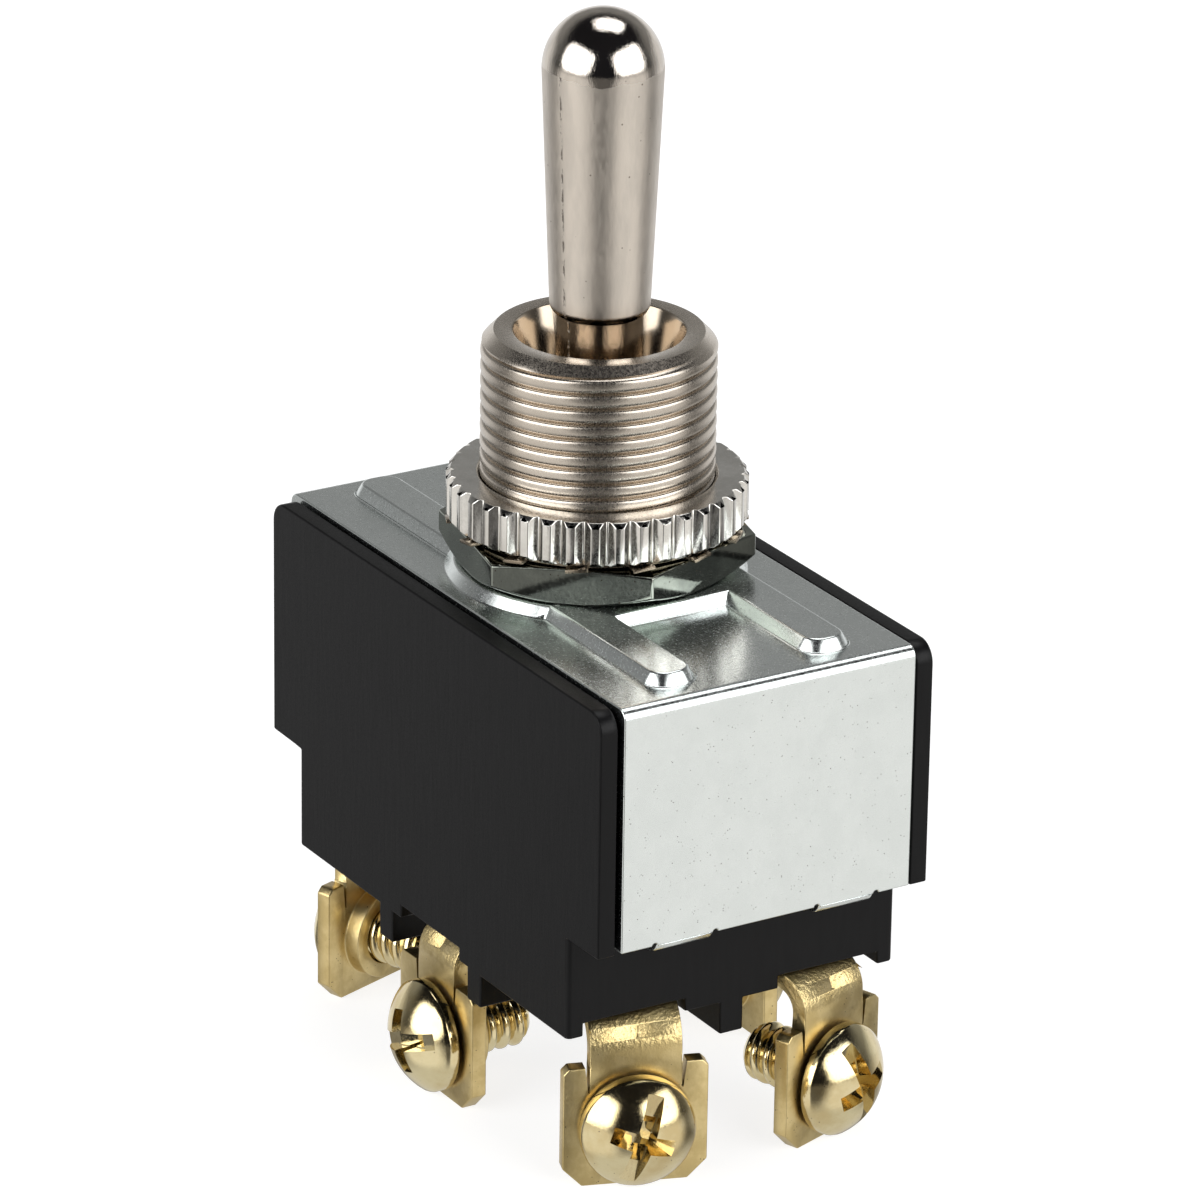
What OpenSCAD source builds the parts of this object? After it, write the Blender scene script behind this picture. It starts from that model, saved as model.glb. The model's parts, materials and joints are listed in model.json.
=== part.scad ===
// Panel toggle switch, double pole, on-off-on, with a bat lever, a threaded bushing,
// a hex nut, a toothed lock washer, a knurled ring nut and six screw terminals.
// Millimetres. +Z runs along the bushing towards the lever's tip, +X along the case's
// long side. The origin is under the lever, where the terminals' feet touch a table.

/* [Case] */
// Length of the moulded case below the frame
case_l = 27.4; // [26:0.1:31]
// Width of the case over its two long sides
case_w = 19.2; // [18.6:0.1:22]
// Radius of the upright corners of the case
case_corner_r = 0.3; // [0.2:0.1:2]
// How far the cheeks' ends lie behind the frame's end plates
cheek_back = 0.25; // [0:0.05:0.6]
// How far the cheeks reach below the frame's end plates
cheek_drop = 0.15; // [0:0.05:0.6]
// Radius of the cheeks' top corners
cheek_r = 1.1; // [0.3:0.1:2.5]
// How far the case's long sides end below the top of the frame
cheek_lip = 0.15; // [0.05:0.05:0.6]
// Thickness of the case's floor
floor_t = 2.2; // [1.6:0.1:3]
// Height from the case's floor to the top of the frame
room_h = 15.65; // [15.2:0.05:17]
// Length of the room for the mechanism
room_l = 24.8; // [23.5:0.1:25.2]
// Width of the room for the mechanism
room_w = 16.4; // [16:0.1:16.8]
// Thickness of the walls and ribs that keep the contacts apart
barrier_t = 1.35; // [0.8:0.05:2]
// Height of the wall between the two poles inside the case
barrier_h = 4.5; // [2:0.1:4.8]
// Depth of the recess under the case
recess_h = 0.7; // [0.6:0.05:1.5]
// Thickness of the wall round the recess
recess_wall = 1.1; // [0.8:0.1:1.6]
// Depth of the ribs under the case
rib_h = 2.45; // [1.8:0.05:2.8]
// Middle of the cross ribs, from the middle of the case
rib_x = 4.5; // [4.1:0.1:5]

/* [Frame] */
// Length of the folded frame over its end plates
frame_l = 33.5; // [32.6:0.1:36]
// Width of the frame
frame_w = 16.8; // [16.6:0.1:17.2]
// Height of the frame's end plates
frame_h = 12.9; // [12:0.1:13.4]
// Thickness of the frame's sheet
sheet_t = 0.95; // [0.8:0.05:1]
// Outer radius of the frame's bends
bend_r = 0.6; // [0.4:0.1:1.5]
// Inner radius of the frame's bends
bend_in_r = 0.15; // [0.1:0.05:0.4]
// Height of the raised panel on the frame's top
emboss_h = 0.65; // [0.3:0.05:0.8]
// Slope of the raised panel's edge, as its run along the sheet
emboss_run = 0.4; // [0.1:0.05:0.6]
// Length of the middle of the raised panel
emboss_mid_l = 15.3; // [14:0.1:18]
// Length of the two long ribs of the raised panel
emboss_rib_l = 30.6; // [26:0.1:31]
// Width over the two long ribs of the raised panel
emboss_w = 11.8; // [11:0.1:13]
// Width of each long rib
emboss_rib_w = 2.9; // [2:0.1:3.6]
// Diameter of the round part of the raised panel
emboss_d = 15.3; // [14.8:0.1:16.4]
// Radius of the corners of the raised panel's ribs
emboss_rib_r = 1.2; // [0.8:0.1:1.4]
// Radius of the corners of the raised panel's middle
emboss_mid_r = 0.7; // [0.6:0.1:1.4]
// Width of each crimped tab
tab_w = 3.2; // [1.6:0.1:3.4]
// Middle of the crimped tabs, from the middle of the end plate
tab_y = 4.7; // [3.6:0.1:6]
// Length of a tab under the case's ledge
tab_reach = 1.4; // [0.8:0.1:1.8]
// How far the ledge lies above the end plate's lower edge
tab_tuck = 0.35; // [0.1:0.05:0.5]
// Radius of the relief cuts beside the tabs
relief_r = 0.15; // [0.1:0.05:0.4]
// How far the hollow behind the raised panel is narrower than the panel
panel_inset = 0.5; // [0.45:0.05:0.6]

/* [Bushing and nuts] */
// Diameter over the bushing's thread
thread_d = 11.906; // [11.6:0.05:12.2]
// Pitch of the bushing's thread
thread_pitch = 0.794; // [0.75:0.001:1]
// Depth of the thread's grooves
thread_depth = 0.33; // [0.25:0.01:0.4]
// Diameter of the bushing's core under the nuts
core_d = 11.0; // [10.6:0.05:11.2]
// Height of the bushing above the frame
bushing_h = 12.8; // [12:0.1:13.2]
// Height and width of the chamfer at the top of the thread
bushing_chamfer = 0.65; // [0.3:0.05:1]
// Diameter of the mouth at the top of the bushing
mouth_d = 8.64; // [8.4:0.05:9.4]
// Diameter at the narrow end of the mouth
throat_d = 6.6; // [6:0.1:7.4]
// Height of the mouth's narrow end above the frame
throat_up = 7.6; // [7.4:0.1:8.6]
// Height of the step between the socket and the mouth's narrow end
throat_step = 0.2; // [0.1:0.05:0.3]
// Diameter of the flange below the frame
flange_d = 13.2; // [12.4:0.1:13.4]
// Thickness of the flange
flange_t = 1.3; // [0.8:0.1:1.4]
// Hex nut across its flats
hex_af = 14.1; // [13:0.05:15.2]
// Thickness of the hex nut
hex_t = 1.95; // [1.6:0.05:2.4]
// Height of the hex nut's upper chamfer at its corners
hex_chamfer = 0.12; // [0.1:0.02:0.4]
// Height of the hex nut's lower chamfer at its corners
hex_under = 0.7; // [0.3:0.05:0.8]
// How far the hex nut's round faces stay inside its flats
hex_inset = 0.1; // [0.05:0.05:0.3]
// Turn of the hex nut about the bushing
hex_turn = -11; // [-30:1:30]
// Space that the lock washer takes between the nuts
washer_h = 0.35; // [0.33:0.01:0.5]
// Thickness of the lock washer's sheet
washer_t = 0.18; // [0.14:0.01:0.19]
// Number of teeth on the lock washer
washer_teeth = 14; // [10:1:18]
// Twist of the lock washer's teeth, in degrees
washer_twist = 7; // [2:1:7]
// Width of the lock washer's teeth
washer_tooth_w = 1.15; // [0.8:0.05:1.2]
// Width of the lock washer's ring
washer_ring_w = 1.35; // [1:0.05:1.6]
// Diameter over the knurled nut's ridges
knurl_d = 15.3; // [14.8:0.1:17]
// Depth of the knurled nut's valleys
knurl_depth = 0.42; // [0.3:0.02:0.7]
// Number of ridges on the knurled nut
knurl_count = 39; // [24:1:48]
// Turn of the knurled nut about the bushing
knurl_turn = 3.6; // [-4:0.1:4]
// Thickness of the knurled nut
knurl_t = 2.35; // [2.2:0.05:2.9]
// Chamfer at the ends of the ridges
knurl_rim = 0.25; // [0.1:0.05:0.4]
// Chamfer at the mouth of the knurled nut's bore
knurl_mouth = 0.55; // [0.2:0.05:0.8]

/* [Lever] */
// Height of the lever's tip above the frame
lever_h = 29.55; // [26:0.05:34]
// Diameter at the lever's thick end
lever_top_d = 6.12; // [5:0.02:8]
// Diameter at the lower end of the lever's handle
lever_low_d = 5.1; // [4:0.02:6]
// Height of the handle's lower end above the top of the bushing
lever_stand = 1.5; // [1.3:0.1:3]
// Height of the rounding at the handle's lower end
lever_shoulder = 0.7; // [0.2:0.05:0.8]
// Diameter of the neck inside the bushing's mouth
neck_d = 4.4; // [3:0.1:4.4]
// Diameter of the ball inside the bushing
ball_d = 7.7; // [7:0.05:7.8]
// Diameter of the socket that the ball sits in
socket_d = 8.2; // [8.1:0.05:8.4]
// Height of the lever's pivot above the frame
pivot_up = 4.2; // [3.9:0.05:4.4]
// Diameter of the pivot pin
pin_d = 1.6; // [1.2:0.1:1.8]
// How far the pin's ends lie below the bushing's core
pin_sunk = 0.2; // [0.1:0.05:0.6]
// Diameter of the lever's stem below the ball
stem_d = 4.0; // [3:0.1:4.2]
// How far the stem ends below the frame's top
stem_down = 6.2; // [5.4:0.1:8]

/* [Mechanism] */
// Length of the actuator from its top to its lower end
actuator_h = 7.4; // [6.8:0.1:7.5]
// Depth of the actuator's top below the frame's top
actuator_down = 3.0; // [2.9:0.1:3.2]
// Thickness of the web between the actuator's three barrels
actuator_web = 3.0; // [2:0.1:4]
// Thickness of the actuator's wall round the lever's stem
boss_wall = 1.4; // [1.2:0.1:1.8]
// Outer diameter of the actuator's two plunger barrels
barrel_d = 4.0; // [3.6:0.1:4.2]
// Gap between those barrels and the room's long walls
barrel_gap = 0.5; // [0.25:0.05:0.6]
// Thickness of the actuator above each plunger's bore
barrel_roof = 0.85; // [0.6:0.05:1.5]
// Diameter of the plungers
plunger_d = 2.6; // [2.2:0.1:2.8]
// Length of the plungers
plunger_l = 5.6; // [4.8:0.1:6.4]
// Thickness of the plunger springs' wire
wire_d = 0.34; // [0.2:0.02:0.4]
// Number of turns in each plunger spring
spring_turns = 5; // [3:1:7]
// Length of the contact rockers
rocker_l = 21.6; // [20.8:0.1:22.6]
// Width of the contact rockers
rocker_w = 3.8; // [3:0.1:4.2]
// Thickness of the contact rockers
rocker_t = 0.8; // [0.6:0.05:0.9]
// Radius of the dip that the plunger runs in
dip_r = 10; // [9.9:0.1:12]
// Depth of that dip
dip_h = 1.0; // [0.7:0.05:1.1]
// Height of the dip's lowest point above the rocker's pivot
dip_up = 1.1; // [1:0.05:1.2]
// Diameter of the rocker's pivot barrel
rocker_pivot_d = 1.8; // [1.4:0.1:1.9]
// Thickness of the seat below the pivot barrel
seat_t = 0.5; // [0.4:0.05:0.8]
// Length of the rocker's seat
seat_l = 3.8; // [3:0.1:4.4]
// Width of the rocker's seat
seat_w = 3.4; // [2.6:0.1:4]
// Diameter of the moving contact buttons
button_d = 2.6; // [2:0.1:3]
// Height of the moving contact buttons
button_h = 0.7; // [0.6:0.05:0.75]
// Diameter of the fixed contacts' heads
head_d = 3.2; // [2.6:0.1:3.6]
// Height of the fixed contacts' heads
head_h = 1.0; // [0.8:0.05:1]
// Diameter of the rivet shanks through the floor
shank_d = 2.0; // [1.4:0.1:2.4]
// Diameter of the rivets' upset tails
tail_d = 3.0; // [2.6:0.1:3.2]
// Thickness of the rivets' upset tails
tail_t = 0.6; // [0.4:0.05:0.9]
// Middle of the fixed contacts, from the middle of the case
contact_x = 9.2; // [8.8:0.1:9.4]

/* [Terminals] */
// Thickness of the terminals' sheet
strip_t = 0.85; // [0.6:0.05:0.85]
// Width of the end terminals' necks
neck_w = 4.7; // [4:0.1:5.2]
// Width of the side terminals' necks
side_neck_w = 3.6; // [3.2:0.1:5.2]
// Outer radius of the terminals' bend
strip_bend_r = 2.0; // [1.2:0.05:2]
// Length of strip between a rivet and the strip's inner end
strip_end = 2.3; // [2:0.1:3]
// Outer face of the front terminals, from the middle of the case
front_face_x = 14.2; // [13.3:0.1:15]
// Outer face of the rear terminals, from the middle of the case
rear_face_x = 13.5; // [13.3:0.1:15]
// Outer face of the side terminals, from the middle of the case
side_face_y = 9.2; // [9.2:0.05:9.6]
// Turn of the end terminals' plates away from the case's length
end_turn = 19; // [0:1:24]
// Height from the terminals' feet to the recess under the case
drop_h = 9.2; // [8.8:0.1:12]
// Width of the terminals' plates
plate_w = 7.4; // [6.8:0.1:7.6]
// Height of the terminals' plates
plate_h = 6.5; // [6.2:0.1:6.6]
// Chamfer at the lower corners of the plates
plate_chamfer = 1.0; // [0.3:0.1:1.6]
// Chamfer at the upper corners of the plates
wing_chamfer = 0.3; // [0.1:0.05:0.8]
// Height of the screws above the terminals' feet
screw_z = 3.15; // [3:0.05:3.3]
// Outer diameter of the threaded collar behind each plate
collar_d = 4.9; // [4.2:0.1:5.4]
// Length of that collar
collar_l = 0.9; // [0.4:0.1:1.4]

/* [Terminal screws] */
// Diameter of the screws' shanks
screw_d = 3.2; // [2.8:0.05:3.5]
// Chamfer at the screws' tips
screw_tip = 0.45; // [0.2:0.05:0.8]
// Length of the screws below their heads
screw_l = 5.1; // [3.8:0.1:6]
// Diameter of the screws' heads
screw_head_d = 5.9; // [5:0.1:6.2]
// Height of the screws' heads
screw_head_h = 2.1; // [1.8:0.1:2.4]
// Height of the straight rim of the heads
screw_rim_h = 0.6; // [0.3:0.05:1]
// How far the screws' heads stand off the plates
screw_stand = 0.2; // [0.05:0.05:0.3]
// Width of the driver slot
slot_w = 1.0; // [0.6:0.05:1.2]
// Depth of the driver slot
slot_h = 0.8; // [0.4:0.05:0.9]
// Length of the cross recess
cross_l = 3.4; // [2.6:0.1:3.8]
// Depth of the cross recess
cross_h = 1.5; // [0.9:0.05:1.55]
// Turns of the slots at the front left, front right, rear left and rear right
end_slot_turns = [108, 108, 62, 35]; // [0:1:180]
// Turns of the slots at the left and right side
side_slot_turns = [18, 70]; // [0:1:180]

/* [Fits] */
// Clearance of anything that turns or slides in a hole
run_gap = 0.05; // [0.02:0.01:0.08]
// Gap below each plunger and below the bushing's thread
rest_gap = 0.05; // [0.03:0.01:0.1]
// Gap between the frame and the case's cheeks and ends
frame_gap = 0.2; // [0.05:0.01:0.25]
// Gap between a terminal's neck and the notch in the case's wall
notch_gap = 0.6; // [0.3:0.05:0.7]

/* [Hidden] */
$fn = 64;

// How far cutters run past what they cut, and a thickness that doesn't count
over = 1;
skin = 0.01;

// Heights, counted up from the terminals' feet
recess_z = drop_h;
floor_z = recess_z + floor_t;
face_z = floor_z + room_h;
case_z = recess_z - recess_h;
rib_z = recess_z - rib_h;
cheek_top_z = face_z - cheek_lip;
sheet_z = face_z - sheet_t;
plate_low_z = face_z - frame_h;
ledge_z = plate_low_z + tab_tuck;
panel_z = face_z + emboss_h;
flange_z = panel_z - sheet_t;
hex_z = panel_z;
washer_z = hex_z + hex_t;
knurl_z = washer_z + washer_h;
core_z = knurl_z + knurl_t + rest_gap;
bushing_z = face_z + bushing_h;
pivot_z = face_z + pivot_up;
actuator_z = face_z - actuator_down - actuator_h;
rocker_z = floor_z + seat_t + run_gap + rocker_pivot_d / 2;
dip_z = rocker_z + dip_up;
tip_z = dip_z + rest_gap;
spring_z = tip_z + plunger_l;
bore_top_z = face_z - actuator_down - barrel_roof;

// Widths that follow from the fits
cheek_in_w = frame_w + 2 * frame_gap;
cheek_l = frame_l - 2 * cheek_back;
cheek_h = cheek_top_z - plate_low_z + cheek_drop;
block_l = frame_l - 2 * sheet_t - 2 * frame_gap;
pole_y = (room_w - barrel_d) / 2 - barrel_gap;
nut_bore_d = core_d + 2 * run_gap;
front_reach = front_face_x - contact_x;
rear_reach = rear_face_x - contact_x;
side_reach = side_face_y - pole_y;
notch_w = neck_w + 2 * notch_gap;
screw_hole_d = screw_d + 2 * run_gap;

// One turn of the bushing's thread: share of the pitch, share of the depth
thread_profile = [[0, 0], [0.13, 0], [0.37, 1], [0.76, 1]];
thread_turns = floor((bushing_z - bushing_chamfer - core_z) / thread_pitch);

// One ridge and one valley of the knurl: share of the pitch, depth below the tips
knurl_profile = [[0, 0.02], [0.18, 0], [0.36, 0.02], [0.64, knurl_depth], [0.72, knurl_depth]];

// A flat rectangle with round corners, about the origin
module rounded_flat(l, w, r) {
    square([l - 2 * r, w], center = true);
    square([l, w - 2 * r], center = true);
    for (x = [-1, 1], y = [-1, 1])
        translate([x * (l / 2 - r), y * (w / 2 - r)]) circle(r);
}

// A block across the case whose two upper long edges are round
module round_topped(l, w, low_z, top_z, r) {
    translate([0, w / 2, 0]) rotate([90, 0, 0]) linear_extrude(height = w) {
        translate([-l / 2 + r, top_z - 2 * r]) square([l - 2 * r, 2 * r]);
        translate([-l / 2, low_z]) square([l, top_z - r - low_z]);
        for (x = [-1, 1]) translate([x * (l / 2 - r), top_z - r]) circle(r);
    }
}

// The flat rectangle with the raised panel's sloping edge
module sloped_panel(l, w, r, h) {
    top_l = l - 2 * emboss_run;
    top_w = w - 2 * emboss_run;
    hull() {
        linear_extrude(height = skin) rounded_flat(l, w, r, $fn = 24);
        translate([0, 0, h - skin]) linear_extrude(height = skin)
            rounded_flat(top_l, top_w, max(r - emboss_run, skin), $fn = 24);
    }
}

// Puts a child made for the front right corner at any of the four corners
module at_corner(x_side, y_side) {
    mirror([x_side < 0 ? 1 : 0, 0, 0])
        mirror([0, y_side < 0 ? 1 : 0, 0])
            translate([contact_x, pole_y, 0]) children();
}

// Puts a child made along +X on the middle of a long side, pointing outwards
module at_side(y_side) {
    translate([0, y_side * pole_y, 0]) rotate([0, 0, y_side * 90]) children();
}

// Case, with its cheeks, its room for the mechanism and the ribs below

module case_tub() {
    translate([0, 0, case_z])
        linear_extrude(height = ledge_z + over - case_z)
            rounded_flat(case_l, case_w, case_corner_r);
    round_topped(block_l, cheek_in_w, ledge_z, sheet_z, bend_in_r + frame_gap);
}

module cheek() {
    cheek_t = (case_w - cheek_in_w) / 2;
    translate([0, cheek_t, cheek_top_z - cheek_h / 2]) rotate([90, 0, 0])
        linear_extrude(height = cheek_t) {
            rounded_flat(cheek_l, cheek_h, cheek_r);
            translate([-cheek_l / 2, -cheek_h / 2]) square([cheek_l, cheek_h / 2]);
        }
}

module case_room() {
    translate([-room_l / 2, -room_w / 2, floor_z])
        cube([room_l, room_w, room_h + over]);
}

module case_recess() {
    recess_l = case_l - 2 * recess_wall;
    recess_w = case_w - 2 * recess_wall;
    translate([-recess_l / 2, -recess_w / 2, case_z - over])
        cube([recess_l, recess_w, recess_h + over]);
    for (y = [-1, 1])
        translate([-case_l / 2 - over, y * pole_y - notch_w / 2, case_z - over])
            cube([case_l + 2 * over, notch_w, recess_h + over]);
    translate([-notch_w / 2, -case_w / 2 - over, case_z - over])
        cube([notch_w, case_w + 2 * over, recess_h + over]);
}

module case_ribs() {
    translate([-case_l / 2, -barrier_t / 2, rib_z])
        cube([case_l, barrier_t, rib_h + skin]);
    for (x = [-1, 1])
        translate([x * rib_x - barrier_t / 2, -case_w / 2, rib_z])
            cube([barrier_t, case_w, rib_h + skin]);
    translate([-room_l / 2 - skin, -barrier_t / 2, floor_z - skin])
        cube([room_l + 2 * skin, barrier_t, barrier_h]);
}

module rivet_holes() {
    for (x = [-1, 0, 1], y = [-1, 1])
        translate([x * contact_x, y * pole_y, recess_z - over])
            cylinder(d = shank_d, h = floor_t + 2 * over);
}

module case() {
    color("#242427") difference() {
        union() {
            difference() {
                union() {
                    case_tub();
                    translate([0, cheek_in_w / 2, 0]) cheek();
                    mirror([0, 1, 0]) translate([0, cheek_in_w / 2, 0]) cheek();
                }
                case_room();
                case_recess();
            }
            case_ribs();
        }
        rivet_holes();
    }
}

// Frame: one folded sheet with a raised panel and four crimped tabs

module raised_panel(inset, h) {
    rib_mid = (emboss_w - emboss_rib_w) / 2;
    for (y = [-1, 1])
        translate([0, y * rib_mid, 0])
            sloped_panel(emboss_rib_l - 2 * inset, emboss_rib_w - 2 * inset, emboss_rib_r - inset, h);
    sloped_panel(emboss_mid_l - 2 * inset, emboss_w - 2 * inset, emboss_mid_r, h);
    cylinder(d1 = emboss_d - 2 * inset, d2 = emboss_d - 2 * inset - 2 * emboss_run, h = h);
}

module crimped_tab() {
    bend_x = frame_l / 2 - sheet_t;
    translate([bend_x - tab_reach, tab_y - tab_w / 2, ledge_z - sheet_t])
        cube([tab_reach, tab_w, sheet_t]);
    translate([bend_x, tab_y + tab_w / 2, ledge_z]) rotate([90, 0, 0])
        intersection() {
            cylinder(r = sheet_t, h = tab_w);
            translate([0, -sheet_t, 0]) cube([sheet_t, 2 * sheet_t, tab_w]);
        }
}

module tab_reliefs(side) {
    for (edge = [-1, 1])
        translate([-frame_l, side * tab_y + edge * (tab_w / 2 + relief_r), plate_low_z])
            rotate([0, 90, 0]) cylinder(r = relief_r, h = 2 * frame_l);
}

module frame() {
    inside_l = frame_l - 2 * sheet_t;
    inside_w = frame_w + 2 * over;
    color("#c3cac9") difference() {
        union() {
            difference() {
                round_topped(frame_l, frame_w, plate_low_z, face_z, bend_r);
                round_topped(inside_l, inside_w, plate_low_z - over, sheet_z, bend_in_r);
                for (y = [-1, 1]) tab_reliefs(y);
            }
            translate([0, 0, face_z]) raised_panel(0, emboss_h);
            for (x = [0, 1], y = [0, 1]) mirror([x, 0, 0]) mirror([0, y, 0]) crimped_tab();
        }
        translate([0, 0, sheet_z]) raised_panel(panel_inset, emboss_h);
        translate([0, 0, sheet_z - over]) cylinder(d = core_d, h = sheet_t + emboss_h + 2 * over);
    }
}

// Bushing, turned and staked in the frame from below. Its thread is cut as level ridges.

function thread_outline() = [
    for (i = [0 : thread_turns - 1], p = thread_profile)
        [thread_d / 2 - p[1] * thread_depth, core_z + (i + p[0]) * thread_pitch]
];

module bushing() {
    color("#9c948b") difference() {
        rotate_extrude() polygon(concat(
            [
                [socket_d / 2, flange_z - flange_t],
                [flange_d / 2, flange_z - flange_t],
                [flange_d / 2, flange_z],
                [core_d / 2, flange_z],
                [core_d / 2, core_z]
            ],
            thread_outline(),
            [
                [thread_d / 2, core_z + thread_turns * thread_pitch],
                [thread_d / 2, bushing_z - bushing_chamfer],
                [thread_d / 2 - bushing_chamfer, bushing_z],
                [mouth_d / 2, bushing_z],
                [throat_d / 2, face_z + throat_up],
                [socket_d / 2, face_z + throat_up - throat_step]
            ]
        ));
        translate([0, thread_d, pivot_z]) rotate([90, 0, 0]) cylinder(d = pin_d, h = 2 * thread_d);
    }
}

module pivot_pin() {
    pin_l = core_d - 2 * pin_sunk;
    color("#8d8d8d") translate([0, pin_l / 2, pivot_z]) rotate([90, 0, 0]) cylinder(d = pin_d, h = pin_l);
}

// Nuts and lock washer

module hex_nut() {
    corner_r = hex_af / sqrt(3);
    face_r = hex_af / 2 - hex_inset;
    past = 1 + hex_inset / (corner_r - face_r);
    color("#8f938e") translate([0, 0, hex_z]) rotate([0, 0, hex_turn]) difference() {
        intersection() {
            linear_extrude(height = hex_t) circle(corner_r, $fn = 6);
            rotate_extrude() polygon([
                [0, 0],
                [face_r, 0],
                [corner_r + hex_inset, past * hex_under],
                [corner_r + hex_inset, hex_t - past * hex_chamfer],
                [face_r, hex_t],
                [0, hex_t]
            ]);
        }
        translate([0, 0, -over]) cylinder(d = nut_bore_d, h = hex_t + 2 * over);
    }
}

module lock_washer() {
    ring_in = nut_bore_d / 2;
    ring_out = ring_in + washer_ring_w;
    root_r = ring_out - washer_t;
    tooth_l = knurl_d / 2 - root_r;
    color("#b5a26a") translate([0, 0, washer_z + washer_h / 2]) {
        difference() {
            translate([0, 0, -washer_t / 2]) cylinder(r = ring_out, h = washer_t);
            translate([0, 0, -over]) cylinder(r = ring_in, h = 2 * over);
        }
        for (i = [0 : washer_teeth - 1])
            rotate([0, 0, (i + 0.5) * 360 / washer_teeth])
                translate([root_r, 0, 0]) rotate([washer_twist, 0, 0])
                    translate([0, -washer_tooth_w / 2, -washer_t / 2])
                        cube([tooth_l, washer_tooth_w, washer_t]);
    }
}

// Each ridge has a slightly round top and each valley sloping sides and a narrow floor
function knurl_outline() = [
    for (i = [0 : knurl_count - 1], p = knurl_profile)
        let (a = (i + p[0]) * 360 / knurl_count, r = knurl_d / 2 - p[1]) [r * cos(a), r * sin(a)]
];

module knurled_nut() {
    tip_r = knurl_d / 2;
    mouth_r = nut_bore_d / 2 + knurl_mouth;
    color("#b9b6b0") translate([0, 0, knurl_z]) rotate([0, 0, knurl_turn]) difference() {
        intersection() {
            linear_extrude(height = knurl_t) polygon(knurl_outline());
            rotate_extrude() polygon([
                [0, 0],
                [tip_r - knurl_rim, 0],
                [tip_r, knurl_rim],
                [tip_r, knurl_t - knurl_rim],
                [tip_r - knurl_rim, knurl_t],
                [0, knurl_t]
            ]);
        }
        translate([0, 0, -over]) cylinder(d = nut_bore_d, h = knurl_t + 2 * over);
        translate([0, 0, knurl_t - knurl_mouth])
            cylinder(r1 = nut_bore_d / 2, r2 = mouth_r + over, h = knurl_mouth + over);
    }
}

// Lever: handle, neck, ball and stem in one turned piece

module lever() {
    top_r = lever_top_d / 2;
    low_r = lever_low_d / 2;
    dome_z = face_z + lever_h - top_r;
    low_z = bushing_z + lever_stand;
    color("#aaa29a") difference() {
        rotate_extrude() intersection() {
            union() {
                polygon([
                    [0, face_z - stem_down],
                    [stem_d / 2, face_z - stem_down],
                    [stem_d / 2, pivot_z],
                    [neck_d / 2, pivot_z],
                    [neck_d / 2, low_z - lever_shoulder],
                    [low_r, low_z],
                    [top_r, dome_z],
                    [0, dome_z]
                ]);
                translate([0, dome_z]) circle(top_r);
                translate([0, pivot_z]) circle(d = ball_d);
            }
            translate([0, face_z - stem_down]) square([top_r + ball_d, lever_h + stem_down]);
        }
        translate([0, ball_d, pivot_z]) rotate([90, 0, 0])
            cylinder(d = pin_d + 2 * run_gap, h = 2 * ball_d);
    }
}

// Actuator: moulded crossbar on the lever's stem, with a barrel for each plunger

module actuator() {
    boss_d = stem_d + 2 * boss_wall;
    bore_h = bore_top_z - actuator_z;
    color("#5a3a28") translate([0, 0, actuator_z]) difference() {
        union() {
            cylinder(d = boss_d, h = actuator_h);
            translate([-actuator_web / 2, -pole_y, 0]) cube([actuator_web, 2 * pole_y, actuator_h]);
            for (y = [-1, 1]) translate([0, y * pole_y, 0]) cylinder(d = barrel_d, h = actuator_h);
        }
        translate([0, 0, face_z - stem_down - actuator_z]) cylinder(d = stem_d, h = actuator_h);
        for (y = [-1, 1])
            translate([0, y * pole_y, -over])
                cylinder(d = plunger_d + 2 * run_gap, h = bore_h + over);
    }
}

module plunger(side) {
    color("#d8d2c4") translate([0, side * pole_y, tip_z]) rotate_extrude() intersection() {
        union() {
            translate([0, plunger_d / 2]) circle(d = plunger_d);
            translate([0, plunger_d / 2]) square([plunger_d / 2, plunger_l - plunger_d / 2]);
        }
        square([plunger_d, plunger_l]);
    }
}

// Plunger spring: a wire swept along a helix, closed at both ends

function coil_point(turn, r, h) = [r * cos(360 * turn), r * sin(360 * turn), h * turn / spring_turns];

module plunger_spring(side) {
    steps = 14;
    sides = 6;
    rings = spring_turns * steps;
    coil_r = (plunger_d - wire_d) / 2 - run_gap;
    coil_h = bore_top_z - spring_z - wire_d;
    points = [
        for (i = [0 : rings], k = [0 : sides - 1])
            let (mid = coil_point(i / steps, coil_r, coil_h), out = 360 * i / steps, a = 360 * k / sides)
                mid + wire_d / 2 * [cos(a) * cos(out), cos(a) * sin(out), sin(a)]
    ];
    faces = concat(
        [[for (k = [0 : sides - 1]) k]],
        [for (i = [0 : rings - 1], k = [0 : sides - 1])
            [i * sides + k, (i + 1) * sides + k, (i + 1) * sides + (k + 1) % sides, i * sides + (k + 1) % sides]],
        [[for (k = [sides - 1 : -1 : 0]) rings * sides + k]]
    );
    color("#c8c8c8") translate([0, side * pole_y, spring_z + wire_d / 2])
        polyhedron(points, faces, convexity = 10);
}

// Contact rocker: a bent strip with a dip, two buttons and a pivot barrel

function dip_point(x, r) = [x, dip_r - sqrt(r * r - x * x)];

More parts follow.
